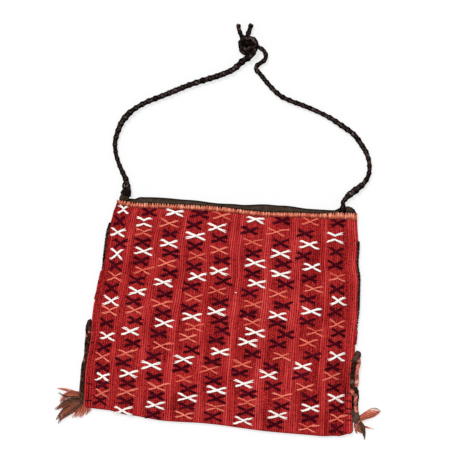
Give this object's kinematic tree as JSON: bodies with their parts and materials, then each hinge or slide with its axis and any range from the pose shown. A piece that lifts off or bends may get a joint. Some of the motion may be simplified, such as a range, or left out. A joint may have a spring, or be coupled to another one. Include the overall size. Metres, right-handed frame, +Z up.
{
  "type": "shoulder bag",
  "caption": "Flat-woven wool shoulder bag with rows of brocaded crosses, side braids with hair tassels and a knotted cord strap, lying on its back.",
  "frame": {"origin": "on the flat underside, in the middle of the pouch", "axes": "+X across the bag to its right side, +Y from the fold at its base to the mouth, +Z up out of the front"},
  "size_m": [0.3974, 0.4946, 0.013],
  "materials": {
    "madder": "ribbed flat-woven wool, matt",
    "apricot": "wool overcast stitching, matt",
    "charcoal": "undyed dark wool, matt",
    "goat_hair": "braided dark hair, matt",
    "brown": "twisted wool yarn, matt",
    "rust": "twisted wool yarn, matt"
  },
  "bodies": {
    "root": {"kilim_body": "madder", "front_mouth_edging": "apricot", "back_mouth_band": "charcoal", "left_seam_stitching": "goat_hair", "right_seam_stitching": "goat_hair", "left_braid_brown": "brown", "left_braid_orange": "rust", "right_braid_brown": "brown", "right_braid_orange": "rust", "left_tassel_tie": "goat_hair", "right_tassel_tie": "goat_hair", "left_tassel_brown": "brown", "left_tassel_orange": "rust", "right_tassel_brown": "brown", "right_tassel_orange": "rust", "left_strap_anchor": "charcoal", "right_strap_anchor": "charcoal", "left_strap_cord": "goat_hair", "right_strap_cord": "goat_hair", "strap_knot_turn": "goat_hair", "strap_knot": "goat_hair", "left_strap_end": "goat_hair", "right_strap_end": "goat_hair"}
  },
  "joints": []
}
